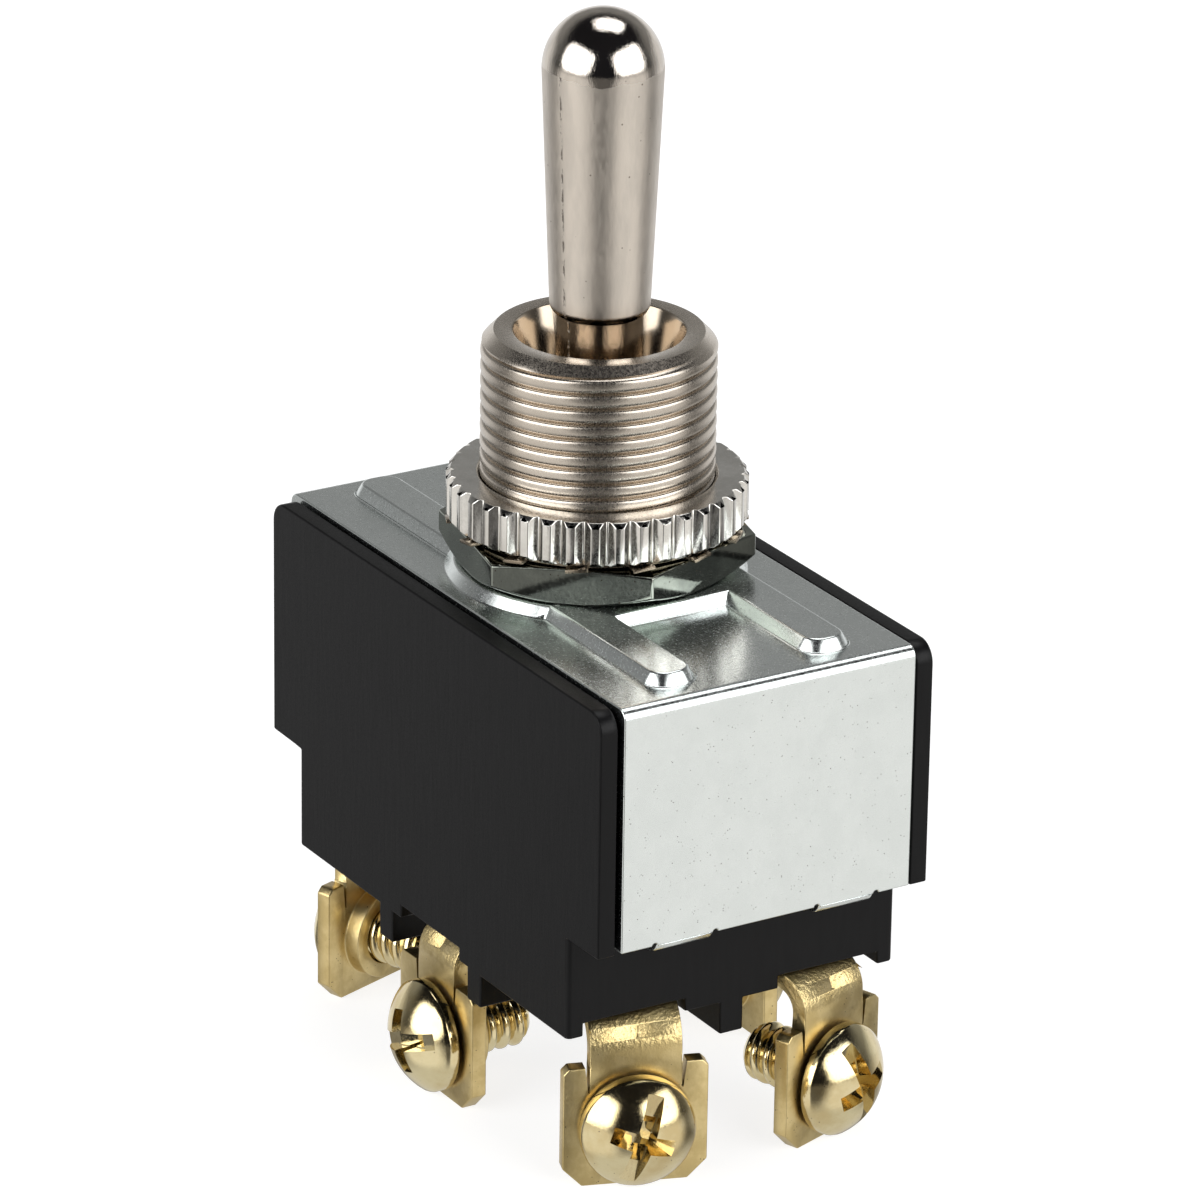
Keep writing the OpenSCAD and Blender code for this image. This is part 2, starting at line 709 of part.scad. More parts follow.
module rocker(side) {
    dip_x = sqrt(dip_r * dip_r - (dip_r - dip_h) * (dip_r - dip_h));
    low_r = dip_r + rocker_t;
    low_x = sqrt(low_r * low_r - (dip_r - dip_h + rocker_t) * (dip_r - dip_h + rocker_t));
    steps = 12;
    upper = [for (i = [-steps : steps]) dip_point(dip_x * i / steps, dip_r)];
    lower = [for (i = [steps : -1 : -steps]) dip_point(low_x * i / steps, low_r)];
    half = rocker_l / 2;
    color("#b98b5a") translate([0, side * pole_y, rocker_z]) union() {
        translate([0, rocker_w / 2, dip_up]) rotate([90, 0, 0]) linear_extrude(height = rocker_w)
            polygon(concat(
                [[-half, dip_h]], upper, [[half, dip_h], [half, dip_h - rocker_t]],
                lower, [[-half, dip_h - rocker_t]]
            ));
        translate([0, seat_w / 2, 0]) rotate([90, 0, 0]) cylinder(d = rocker_pivot_d, h = seat_w);
        for (x = [-1, 1])
            translate([x * contact_x, 0, dip_up + dip_h - rocker_t - button_h])
                cylinder(d1 = button_d - button_h, d2 = button_d, h = button_h + skin);
    }
}

// Rivets through the floor: a shank with an upset tail below the strip

module rivet_below() {
    translate([0, 0, recess_z - strip_t - tail_t]) cylinder(d = tail_d, h = tail_t);
    translate([0, 0, recess_z - strip_t - tail_t]) cylinder(d = shank_d, h = strip_t + tail_t + floor_t);
}

module rocker_seat(side) {
    color("#b98b5a") translate([0, side * pole_y, 0]) {
        rivet_below();
        difference() {
            translate([-seat_l / 2, -seat_w / 2, floor_z])
                cube([seat_l, seat_w, rocker_z - floor_z]);
            translate([0, seat_w, rocker_z]) rotate([90, 0, 0])
                cylinder(d = rocker_pivot_d + 2 * run_gap, h = 2 * seat_w);
        }
    }
}

module fixed_contact() {
    color("#c9b27a") {
        rivet_below();
        translate([0, 0, floor_z]) cylinder(d = head_d, h = head_h);
    }
}

// Terminal: a strip under the floor that bends down into a turned plate.
// Its own origin is the rivet's axis, and +X points out of the case.

module plate_outline() {
    half = plate_w / 2;
    polygon([
        [-half, plate_chamfer],
        [-half + plate_chamfer, 0],
        [half - plate_chamfer, 0],
        [half, plate_chamfer],
        [half, plate_h - wing_chamfer],
        [half - wing_chamfer, plate_h],
        [-half + wing_chamfer, plate_h],
        [-half, plate_h - wing_chamfer]
    ]);
}

module turned_about_neck(reach, turn) {
    translate([reach - strip_t / 2, 0, 0]) rotate([0, 0, turn]) children();
}

// The corner of the strip where its bend starts, on either side of the neck
function bend_start(reach, turn, out) =
    let (back = strip_bend_r - strip_t / 2 - skin)
        [reach - strip_t / 2 - back * cos(turn) - out * sin(turn), out * cos(turn) - back * sin(turn)];

module terminal(reach, turn, neck) {
    bend_z = recess_z - strip_bend_r;
    color("#b3a274") difference() {
        union() {
            translate([0, 0, recess_z - strip_t]) linear_extrude(height = strip_t) polygon([
                [-strip_end, neck / 2],
                [-strip_end, -neck / 2],
                bend_start(reach, turn, -neck / 2),
                bend_start(reach, turn, neck / 2)
            ]);
            turned_about_neck(reach, turn) {
                translate([strip_t / 2 - strip_bend_r, 0, bend_z]) rotate([90, 0, 0])
                    rotate_extrude(angle = 90)
                        translate([strip_bend_r - strip_t, -neck / 2]) square([strip_t, neck]);
                translate([-strip_t / 2, 0, 0]) rotate([90, 0, 90]) linear_extrude(height = strip_t) {
                    plate_outline();
                    translate([-neck / 2, plate_h - over]) square([neck, bend_z - plate_h + over + skin]);
                }
                translate([-strip_t / 2 - collar_l, 0, screw_z]) rotate([0, 90, 0])
                    cylinder(d = collar_d, h = collar_l + strip_t / 2);
            }
        }
        translate([0, 0, recess_z - strip_t - over]) cylinder(d = shank_d, h = strip_t + 2 * over);
        turned_about_neck(reach, turn)
            translate([-collar_l - strip_t, 0, screw_z]) rotate([0, 90, 0])
                cylinder(d = screw_hole_d, h = collar_l + 2 * strip_t);
    }
}

// Terminal screw, made along +X with the underside of its head at x = 0

module screw_body(slot_turn) {
    head_r = screw_head_d / 2;
    dome_h = screw_head_h - screw_rim_h;
    dome_r = (head_r * head_r + dome_h * dome_h) / (2 * dome_h);
    color("#c9b97e") rotate([0, 90, 0]) rotate([0, 0, slot_turn]) difference() {
        union() {
            translate([0, 0, screw_tip - screw_l]) cylinder(d = screw_d, h = screw_l - screw_tip + skin);
            translate([0, 0, -screw_l]) cylinder(d1 = screw_d - 2 * screw_tip, d2 = screw_d, h = screw_tip + skin);
            rotate_extrude() intersection() {
                translate([0, screw_head_h - dome_r]) circle(dome_r, $fn = 128);
                square([head_r, screw_head_h]);
            }
        }
        translate([-slot_w / 2, -head_r - over, screw_head_h - slot_h])
            cube([slot_w, 2 * head_r + 2 * over, slot_h + over]);
        for (turn = [0, 90]) rotate([0, 0, turn])
            translate([-slot_w / 2, -cross_l / 2, screw_head_h - cross_h])
                cube([slot_w, cross_l, cross_h + over]);
    }
}

module screw(reach, turn, slot_turn) {
    turned_about_neck(reach, turn)
        translate([strip_t / 2 + screw_stand, 0, screw_z]) screw_body(slot_turn);
}

module front_screw(i) screw(front_reach, end_turn, end_slot_turns[i]);

module rear_screw(i) screw(rear_reach, end_turn, end_slot_turns[i]);

module side_screw(i) screw(side_reach, 0, side_slot_turns[i]);

case();
frame();
bushing();
hex_nut();
lock_washer();
knurled_nut();
lever();
pivot_pin();
actuator();
plunger(-1);  // plunger_left
plunger(1);  // plunger_right
plunger_spring(-1);  // plunger_spring_left
plunger_spring(1);  // plunger_spring_right
rocker(-1);  // rocker_left
rocker(1);  // rocker_right
rocker_seat(-1);  // rocker_seat_left
rocker_seat(1);  // rocker_seat_right
at_corner(1, -1) fixed_contact();  // fixed_contact_front_left
at_corner(1, 1) fixed_contact();  // fixed_contact_front_right
at_corner(-1, -1) fixed_contact();  // fixed_contact_rear_left
at_corner(-1, 1) fixed_contact();  // fixed_contact_rear_right
at_corner(1, -1) terminal(front_reach, end_turn, neck_w);  // terminal_front_left
at_corner(1, 1) terminal(front_reach, end_turn, neck_w);  // terminal_front_right
at_corner(-1, -1) terminal(rear_reach, end_turn, neck_w);  // terminal_rear_left
at_corner(-1, 1) terminal(rear_reach, end_turn, neck_w);  // terminal_rear_right
at_side(-1) terminal(side_reach, 0, side_neck_w);  // terminal_side_left
at_side(1) terminal(side_reach, 0, side_neck_w);  // terminal_side_right
at_corner(1, -1) front_screw(0);  // screw_front_left
at_corner(1, 1) front_screw(1);  // screw_front_right
at_corner(-1, -1) rear_screw(2);  // screw_rear_left
at_corner(-1, 1) rear_screw(3);  // screw_rear_right
at_side(-1) side_screw(0);  // screw_side_left
at_side(1) side_screw(1);  // screw_side_right
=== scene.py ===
import json
import math
import bmesh
import bpy
from mathutils import Matrix, Vector


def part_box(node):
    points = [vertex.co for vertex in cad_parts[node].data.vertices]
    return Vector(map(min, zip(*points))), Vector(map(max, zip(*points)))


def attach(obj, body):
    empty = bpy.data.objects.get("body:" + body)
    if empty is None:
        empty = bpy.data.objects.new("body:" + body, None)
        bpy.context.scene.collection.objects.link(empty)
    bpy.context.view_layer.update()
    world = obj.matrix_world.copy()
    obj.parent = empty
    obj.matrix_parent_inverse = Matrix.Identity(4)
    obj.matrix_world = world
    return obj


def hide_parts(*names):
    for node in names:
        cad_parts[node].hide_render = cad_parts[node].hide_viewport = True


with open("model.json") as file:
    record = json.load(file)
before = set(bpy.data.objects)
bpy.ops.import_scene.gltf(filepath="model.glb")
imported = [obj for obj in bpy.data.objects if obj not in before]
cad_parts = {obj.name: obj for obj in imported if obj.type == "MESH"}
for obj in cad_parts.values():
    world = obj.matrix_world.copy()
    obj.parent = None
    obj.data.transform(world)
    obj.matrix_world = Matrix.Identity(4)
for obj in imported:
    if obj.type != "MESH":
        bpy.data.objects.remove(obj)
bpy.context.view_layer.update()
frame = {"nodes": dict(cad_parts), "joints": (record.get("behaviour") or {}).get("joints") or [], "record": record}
nodes = frame["nodes"]
bodyOf = {node: body for body, members in frame["record"]["behaviour"]["bodies"].items() for node in members}
slotOf = {entry["node"]: entry["material_slot"] for entry in frame["record"]["subparts"]}
joints = {joint["name"]: joint for joint in frame["joints"]}

# making pieces: each is shaped in millimetres, and its mesh is turned into metres at the end

millimetre = 0.001
metre = 1000
sharpAngle = 32  # degrees between two faces, from which their shared edge is shaded sharp


def resize(bm, factor):
    bmesh.ops.scale(bm, vec=(factor, factor, factor), verts=bm.verts)


def link(name, data):
    made = bpy.data.objects.new(name, data)
    bpy.context.scene.collection.objects.link(made)
    return made


def meshFrom(bm, name):
    mesh = bpy.data.meshes.new(name)
    bm.to_mesh(mesh)
    bm.free()
    return mesh


def register(piece, body, stands):
    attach(piece, body)
    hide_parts(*stands)


def addPiece(bm, name, material, body, stands, sharp=sharpAngle, weighted=False):
    bmesh.ops.remove_doubles(bm, verts=bm.verts, dist=0.0005)
    bmesh.ops.recalc_face_normals(bm, faces=bm.faces)
    resize(bm, millimetre)
    mesh = meshFrom(bm, name)
    mesh.polygons.foreach_set("use_smooth", [True] * len(mesh.polygons))
    mesh.set_sharp_from_angle(angle=math.radians(sharp))
    mesh.materials.append(material)
    piece = link(name, mesh)
    if weighted:
        even = piece.modifiers.new("evenShading", "WEIGHTED_NORMAL")
        even.keep_sharp = True
        even.weight = 100
    register(piece, body, stands)
    return piece


def mergedCopy(node):
    # a solid's loose triangles, joined up again into whole faces
    bm = bmesh.new()
    bm.from_mesh(nodes[node].data)
    resize(bm, metre)
    bmesh.ops.remove_doubles(bm, verts=bm.verts, dist=0.0008)
    bmesh.ops.dissolve_degenerate(bm, edges=bm.edges, dist=0.0005)
    bmesh.ops.dissolve_limit(bm, angle_limit=math.radians(0.5), verts=bm.verts, edges=bm.edges)
    return bm


def softenEdges(bm, width, segments, angle, wanted=None):
    # rounds the edges that are sharper than an angle in degrees
    chosen = [e for e in bm.edges if e.is_manifold and e.calc_face_angle() > math.radians(angle)]
    if wanted:
        chosen = [e for e in chosen if wanted(e)]
    bmesh.ops.bevel(bm, geom=chosen, offset=width, offset_type="OFFSET", segments=segments,
                    profile=0.5, affect="EDGES", clamp_overlap=False, loop_slide=True, material=-1)


def stayInside(bm, node):
    # rounding at a narrow corner can't reach past the solid that it softens
    low, high = (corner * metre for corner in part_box(node))
    for vert in bm.verts:
        vert.co = [min(max(value, least), most) for value, least, most in zip(vert.co, low, high)]


def lineOfPoints(bm, points):
    # an outline of (radius, height) points, in the plane of X and Z
    verts = [bm.verts.new((r, 0, z)) for r, z in points]
    return verts, [bm.edges.new(pair) for pair in zip(verts, verts[1:])]


def turned(points, steps):
    bm = bmesh.new()
    verts, edges = lineOfPoints(bm, points)
    bmesh.ops.spin(bm, geom=verts + edges, cent=(0, 0, 0), axis=(0, 0, 1), dvec=(0, 0, 0),
                   angle=math.tau, steps=steps, use_merge=True)
    bmesh.ops.remove_doubles(bm, verts=bm.verts, dist=0.0005)
    return bm


def arc(r, z, radius, start, end, count):
    # points of a round from one angle to another, in degrees above the horizontal
    angles = [math.radians(start + (end - start) * i / count) for i in range(count + 1)]
    return [(r + radius * math.cos(a), z + radius * math.sin(a)) for a in angles]


def threadCoil(crest, profile, pitch, lowZ, highZ, steps):
    # one pitch of the thread's outline, wound up as a coil and cut level at both ends
    outline = [(crest - depth, share * pitch) for share, depth in profile + [(1, profile[0][1])]]
    turns = math.ceil((highZ - lowZ) / pitch) + 2
    bm = bmesh.new()
    verts, edges = lineOfPoints(bm, [(r, lowZ - pitch * 1.5 + z) for r, z in outline])
    bmesh.ops.spin(bm, geom=verts + edges, cent=(0, 0, 0), axis=(0, 0, 1), dvec=(0, 0, pitch / steps),
                   angle=math.tau * turns, steps=steps * turns, use_merge=False)
    bmesh.ops.remove_doubles(bm, verts=bm.verts, dist=0.002)
    for z, upward in ((highZ, True), (lowZ, False)):
        everything = bm.verts[:] + bm.edges[:] + bm.faces[:]
        bmesh.ops.bisect_plane(bm, geom=everything, dist=0.0001, plane_co=(0, 0, z), plane_no=(0, 0, 1),
                               clear_outer=upward, clear_inner=not upward)
    return bm


def rimEdges(bm, z):
    # the open edges that lie level at one height
    return [e for e in bm.edges if e.is_boundary and all(abs(v.co.z - z) < 0.001 for v in e.verts)]


def drawRing(bm, edges, radius, z):
    # pulls a new ring out of an open rim
    made = bmesh.ops.extrude_edge_only(bm, edges=edges)["geom"]
    for v in made:
        if isinstance(v, bmesh.types.BMVert):
            flat = v.co.xy.normalized() * radius
            v.co = (flat.x, flat.y, z)
    return [e for e in made if isinstance(e, bmesh.types.BMEdge) and e.is_boundary]


def limitRadius(bm, allowed):
    # pulls in whatever stands out further than is allowed at its height
    for v in bm.verts:
        most = allowed(v.co.z)
        if v.co.xy.length > most:
            flat = v.co.xy.normalized() * most
            v.co = (flat.x, flat.y, v.co.z)


# materials: one recipe for each kind of finish; patterns are sized in millimetres


def newMaterial(name):
    material = bpy.data.materials.new(name)
    material.use_nodes = True
    tree = material.node_tree
    return material, tree, tree.nodes["Principled BSDF"]


def finish(material, tree, surface, colour, roughness, normal):
    tree.links.new(colour, surface.inputs["Base Color"])
    tree.links.new(roughness, surface.inputs["Roughness"])
    tree.links.new(normal, surface.inputs["Normal"])
    return material


def addNode(tree, kind, inputs=None, **settings):
    node = tree.nodes.new(kind)
    for key, value in settings.items():
        setattr(node, key, value)
    for key, value in (inputs or {}).items():
        if hasattr(value, "is_output"):
            tree.links.new(value, node.inputs[key])
        else:
            node.inputs[key].default_value = value
    return node


def position(tree, stretch=(1, 1, 1)):
    # object coordinates in millimetres, stretched along an axis for grain
    here = addNode(tree, "ShaderNodeTexCoord").outputs["Object"]
    scale = tuple(metre * s for s in stretch)
    return addNode(tree, "ShaderNodeMapping", {"Vector": here, "Scale": scale}).outputs["Vector"]


def noise(tree, where, scale, detail, rough=0.6):
    return addNode(tree, "ShaderNodeTexNoise", {"Vector": where, "Scale": scale, "Detail": detail,
                                                "Roughness": rough}).outputs["Fac"]


def remap(tree, value, low, high, toLow, toHigh, soft=True):
    # carries low..high over to toLow..toHigh, and stops at both ends
    kind = "SMOOTHSTEP" if soft else "LINEAR"
    return addNode(tree, "ShaderNodeMapRange", {"Value": value, "From Min": low, "From Max": high,
                                                "To Min": toLow, "To Max": toHigh},
                   interpolation_type=kind).outputs["Result"]


def mathNode(tree, kind, a, b=0.5):
    return addNode(tree, "ShaderNodeMath", {0: a, 1: b}, operation=kind).outputs[0]


def product(tree, a, b):
    return mathNode(tree, "MULTIPLY", a, b)


def total(tree, a, b):
    return mathNode(tree, "ADD", a, b)


def mixColours(tree, factor, a, b):
    node = addNode(tree, "ShaderNodeMix", {"Factor": factor}, data_type="RGBA")
    for socket, value in ((node.inputs[6], a), (node.inputs[7], b)):
        if hasattr(value, "is_output"):
            tree.links.new(value, socket)
        else:
            socket.default_value = (*value, 1)
    return node.outputs[2]


def bump(tree, height, distance, normal=None):
    # a distance in millimetres for the full height of a pattern
    inputs = {"Height": height, "Distance": distance * millimetre, "Strength": 1.0}
    if normal:
        inputs["Normal"] = normal
    return addNode(tree, "ShaderNodeBump", inputs).outputs["Normal"]


def specksOf(tree, where, scale, near, far, seldom):
    # small round dots, left standing only where a coarser pattern lets them
    dots = addNode(tree, "ShaderNodeTexVoronoi", {"Vector": where, "Scale": scale, "Randomness": 1.0})
    return product(tree, remap(tree, dots.outputs["Distance"], near, far, 1, 0), seldom)


def metalFinish(name, base, shade, rough, cloud=0.35, grainScale=6.0, grainDepth=0.004, specks=0.0,
                speckScale=5.0, pits=0.0, pitScale=2.0, pitZ=0.0, mouthR=0.0):
    material, tree, surface = newMaterial(name)
    surface.inputs["Metallic"].default_value = 1.0
    where = position(tree)
    clouds = noise(tree, where, cloud, 4.0)
    colour = mixColours(tree, remap(tree, clouds, 0.35, 0.65, 0, 1), shade, base)
    fine = noise(tree, where, grainScale, 4.0)
    roughness = remap(tree, fine, 0.3, 0.7, *rough)
    normal = bump(tree, fine, grainDepth)
    if pits:
        # hammered marks, at their full depth only above pitZ
        height = addNode(tree, "ShaderNodeSeparateXYZ", {"Vector": where}).outputs["Z"]
        depth = remap(tree, height, pitZ - 0.5, pitZ + 0.2, 0.12, 1)
        hammered = product(tree, noise(tree, where, pitScale, 3.0), depth)
        normal = bump(tree, hammered, pits, normal)
    if specks:
        # tarnished dots, rougher than the metal round them
        rare = noise(tree, where, speckScale * 0.37, 2.0, 0.5)
        mask = specksOf(tree, where, speckScale, 0.10, 0.20, remap(tree, rare, 0.62 - specks, 0.66 - specks, 0, 1))
        colour = mixColours(tree, mask, colour, (0.06, 0.045, 0.035))
        roughness = total(tree, roughness, product(tree, mask, 0.3))
    if mouthR:
        # inside this radius the turned mouth is smoother than the thread, and its colour is darker and browner:
        # painted shade inside the cone
        flat = addNode(tree, "ShaderNodeVectorMath", {0: where, 1: (1, 1, 0)}, operation="MULTIPLY").outputs[0]
        radius = addNode(tree, "ShaderNodeVectorMath", {0: flat}, operation="LENGTH").outputs["Value"]
        inside = remap(tree, radius, mouthR - 0.05, mouthR + 0.05, 1, 0)
        colour = mixColours(tree, product(tree, inside, 0.8), colour, (0.40, 0.33, 0.25))
        roughness = product(tree, roughness, remap(tree, inside, 0, 1, 1, 0.5))
    return finish(material, tree, surface, colour, roughness, normal)


def plasticFinish(name, base, shade, rough, specular=0.5):
    # upright flow lines of the moulding under a fine skin
    material, tree, surface = newMaterial(name)
    surface.inputs["Specular IOR Level"].default_value = specular
    lines = noise(tree, position(tree, (1, 1, 0.12)), 3.0, 4.0)
    skin = noise(tree, position(tree), 14.0, 3.0)
    colour = mixColours(tree, remap(tree, lines, 0.3, 0.7, 0, 1), shade, base)
    normal = bump(tree, skin, 0.003, bump(tree, lines, 0.006))
    return finish(material, tree, surface, colour, remap(tree, skin, 0.3, 0.7, *rough), normal)


def leverFinish(name, look):
    # satin nickel on the handle, mirror polish on its round end and below its shoulder, and a moulding seam
    material, tree, surface = newMaterial(name)
    surface.inputs["Metallic"].default_value = 1.0
    where = position(tree)
    split = addNode(tree, "ShaderNodeSeparateXYZ", {"Vector": where})
    height = split.outputs["Z"]
    # the polish reaches a little lower towards the front corner, along a wavering line
    tilt = addNode(tree, "ShaderNodeVectorMath", {0: where, 1: look["polishTilt"]}, operation="DOT_PRODUCT")
    waver = remap(tree, noise(tree, where, 0.9, 3.0), 0.3, 0.7, -0.12, 0.12, False)
    edge = total(tree, total(tree, height, tilt.outputs["Value"]), waver)
    polished = remap(tree, edge, look["polishZ"] - 0.06, look["polishZ"] + 0.06, 0, 1)
    neck = remap(tree, height, look["neckZ"] - 0.1, look["neckZ"] + 0.25, 1, 0)
    mirror = mathNode(tree, "MAXIMUM", polished, neck)
    fine = noise(tree, position(tree, (1, 1, 0.3)), 5.0, 4.0, 0.65)
    satin = remap(tree, fine, 0.3, 0.7, *look["satin"])
    gloss = remap(tree, noise(tree, where, 9.0, 3.0), 0.35, 0.75, *look["mirror"])
    roughness = addNode(tree, "ShaderNodeMix", {0: mirror, 2: satin, 3: gloss}).outputs[0]
    clouds = noise(tree, position(tree, (1, 1, 0.25)), 1.1, 4.0)
    colour = mixColours(tree, remap(tree, clouds, 0.35, 0.65, 0, 1), look["shade"], look["base"])
    # the seam is a narrow upright band, found by its angle round the lever
    turn = math.radians(look["seamTurn"])
    across, ahead = (total(tree, product(tree, split.outputs["X"], x), product(tree, split.outputs["Y"], y))
                     for x, y in ((-math.sin(turn), math.cos(turn)), (math.cos(turn), math.sin(turn))))
    band = remap(tree, mathNode(tree, "ABSOLUTE", across), 0.02, look["seamWidth"], 1, 0)
    inFront = remap(tree, ahead, 0.0, 0.5, 0, 1)
    broken = remap(tree, noise(tree, position(tree, (1, 1, 0.5)), 4.5, 4.0, 0.7), 0.47, 0.56, 0, 1)
    seam = product(tree, product(tree, band, inFront), broken)
    seam = product(tree, seam, mathNode(tree, "SUBTRACT", 1.0, polished))
    colour = mixColours(tree, product(tree, seam, 0.7), colour, look["seamColour"])
    rare = remap(tree, noise(tree, where, 0.8, 2.0, 0.5), 0.52, 0.58, 0, 1)
    specks = specksOf(tree, where, 1.7, 0.05, 0.11, rare)
    colour = mixColours(tree, product(tree, specks, 0.75), colour, look["speckColour"])
    marks = total(tree, product(tree, seam, -1.0), product(tree, fine, 0.5))
    return finish(material, tree, surface, colour, roughness, bump(tree, marks, look["depth"]))


leverLook = {"base": (0.66, 0.60, 0.53), "shade": (0.58, 0.53, 0.47), "satin": (0.32, 0.42), "mirror": (0.04, 0.09),
             "polishZ": 53.85, "polishTilt": (0.09, -0.055, 0), "neckZ": 41.1, "seamTurn": -75.0, "seamWidth": 0.1,
             "seamColour": (0.09, 0.07, 0.055), "speckColour": (0.10, 0.065, 0.04), "depth": 0.02}
# each metal has its two colours and the least and most roughness, and so has each plastic
finishes = {
    "case_plastic": plasticFinish("blackPlastic", (0.0032, 0.0032, 0.0036), (0.0022, 0.0022, 0.0026), (0.3, 0.42),
                                  specular=0.16),
    "frame_zinc": metalFinish("zincPlate", (0.76, 0.80, 0.79), (0.73, 0.77, 0.76), (0.16, 0.28), cloud=0.5,
                              grainScale=8.0, grainDepth=0.001, specks=0.05, speckScale=6.0),
    "bushing_nickel": metalFinish("bushingNickel", (0.60, 0.54, 0.47), (0.53, 0.475, 0.41), (0.2, 0.32),
                                  grainScale=9.0, grainDepth=0.0007, mouthR=4.4),
    "nut_nickel": metalFinish("nutNickel", (0.74, 0.72, 0.68), (0.62, 0.60, 0.56), (0.12, 0.26),
                              grainScale=7.0, grainDepth=0.003),
    "washer_brass": metalFinish("washerBrass", (0.34, 0.29, 0.22), (0.2, 0.16, 0.12), (0.2, 0.35), grainScale=7.0),
    "lever_nickel": leverFinish("leverNickel", leverLook),
    "pin_steel": metalFinish("pinSteel", (0.55, 0.55, 0.55), (0.45, 0.45, 0.46), (0.2, 0.32)),
    "actuator_plastic": plasticFinish("brownPhenolic", (0.085, 0.035, 0.018), (0.06, 0.025, 0.013), (0.35, 0.5)),
    "plunger_plastic": plasticFinish("ivoryNylon", (0.62, 0.58, 0.47), (0.55, 0.51, 0.41), (0.35, 0.5)),
    "spring_steel": metalFinish("springSteel", (0.60, 0.60, 0.61), (0.48, 0.48, 0.49), (0.18, 0.3)),
    "contact_metal": metalFinish("contactMetal", (0.78, 0.66, 0.50), (0.62, 0.45, 0.30), (0.2, 0.36)),
    "terminal_brass": metalFinish("terminalBrass", (0.70, 0.56, 0.28), (0.57, 0.44, 0.20), (0.28, 0.4), cloud=0.8,
                                  grainScale=8.0, pits=0.05, pitScale=5.5, pitZ=7.6, specks=0.03),
    "screw_brass": metalFinish("screwBrass", (0.78, 0.68, 0.42), (0.66, 0.53, 0.28), (0.07, 0.16),
                               grainScale=8.0, grainDepth=0.003, specks=0.02),
    # the hex nut's colour is set darker than nickel's own: painted dark reflection of its mirror-like flats
    "hex_nickel": metalFinish("hexNickelPaintedDark", (0.30, 0.32, 0.28), (0.21, 0.225, 0.20), (0.05, 0.13),
                              grainDepth=0.002, specks=0.08, speckScale=4.0),
}
for node, piece in nodes.items():
    piece.data.materials.clear()
    piece.data.materials.append(finishes[slotOf[node]])
print("materials made:", len(finishes))

# bushing: the thread is a real coil, with the turned inside added to its two rims

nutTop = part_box("knurled_nut")[1].z * metre
bushing = {"crest": 5.953, "pitch": 0.79375,
           "profile": [(0, 0.28), (0.07, 0.12), (0.18, 0.05), (0.34, 0.01), (0.5, 0), (0.68, 0.01), (0.8, 0.03),
                       (0.84, 0.05), (0.9, 0.11), (0.95, 0.19)],  # share of the pitch, depth below the crest
           "steps": 120, "topZ": 39.85, "lowZ": nutTop - 0.5, "chamfer": 0.65, "edge": 0.07, "round": 0.1,
           "mouthR": 4.32, "throatR": 3.3, "throatZ": 34.65, "socketR": 4.1, "socketZ": 34.45, "bottomZ": 25.45,
           "flangeR": 6.6, "flangeZ": 26.75, "coreR": 5.5, "nutMouthR": 6.1, "nutTopZ": nutTop, "nutGap": 0.06,
           "pinR": 0.8, "pinZ": 31.25}


def cutWith(piece, cutterBm, name):
    # a Boolean difference, applied at once so that no cutter stays in the scene
    resize(cutterBm, millimetre)
    mesh = meshFrom(cutterBm, name)
    cutter = link(name, mesh)
    hole = piece.modifiers.new("hole", "BOOLEAN")
    hole.operation = "DIFFERENCE"
    hole.solver = "EXACT"
    hole.object = cutter
    bpy.context.view_layer.update()
    result = bpy.data.meshes.new_from_object(piece.evaluated_get(bpy.context.evaluated_depsgraph_get()))
    piece.modifiers.clear()
    piece.data = result
    bpy.data.objects.remove(cutter)
    bpy.data.meshes.remove(mesh)
    result.set_sharp_from_angle(angle=math.radians(sharpAngle))


def crossPin(radius, length, z):
    # a round bar along Y
    bm = bmesh.new()
    lay = Matrix.Translation((0, 0, z)) @ Matrix.Rotation(math.radians(90), 4, "X")
    bmesh.ops.create_cone(bm, cap_ends=True, segments=48, radius1=radius, radius2=radius, depth=length, matrix=lay)
    return bm


def block(middle, size):
    bm = bmesh.new()
    bmesh.ops.create_cube(bm, size=1, matrix=Matrix.Translation(middle) @ Matrix.Diagonal((*size, 1)))
    return bm


def taperedBar(length, width, top, bottom, taper, narrow):
    # a bar of twice the length, whose lower face is drawn in to shares of its length and width
    bm = block((0, 0, (top + bottom) / 2), (2 * length, width, top - bottom))
    low = [v for v in bm.verts if v.co.z < (top + bottom) / 2]
    bmesh.ops.scale(bm, vec=(taper, narrow, 1), verts=low)
    return bm


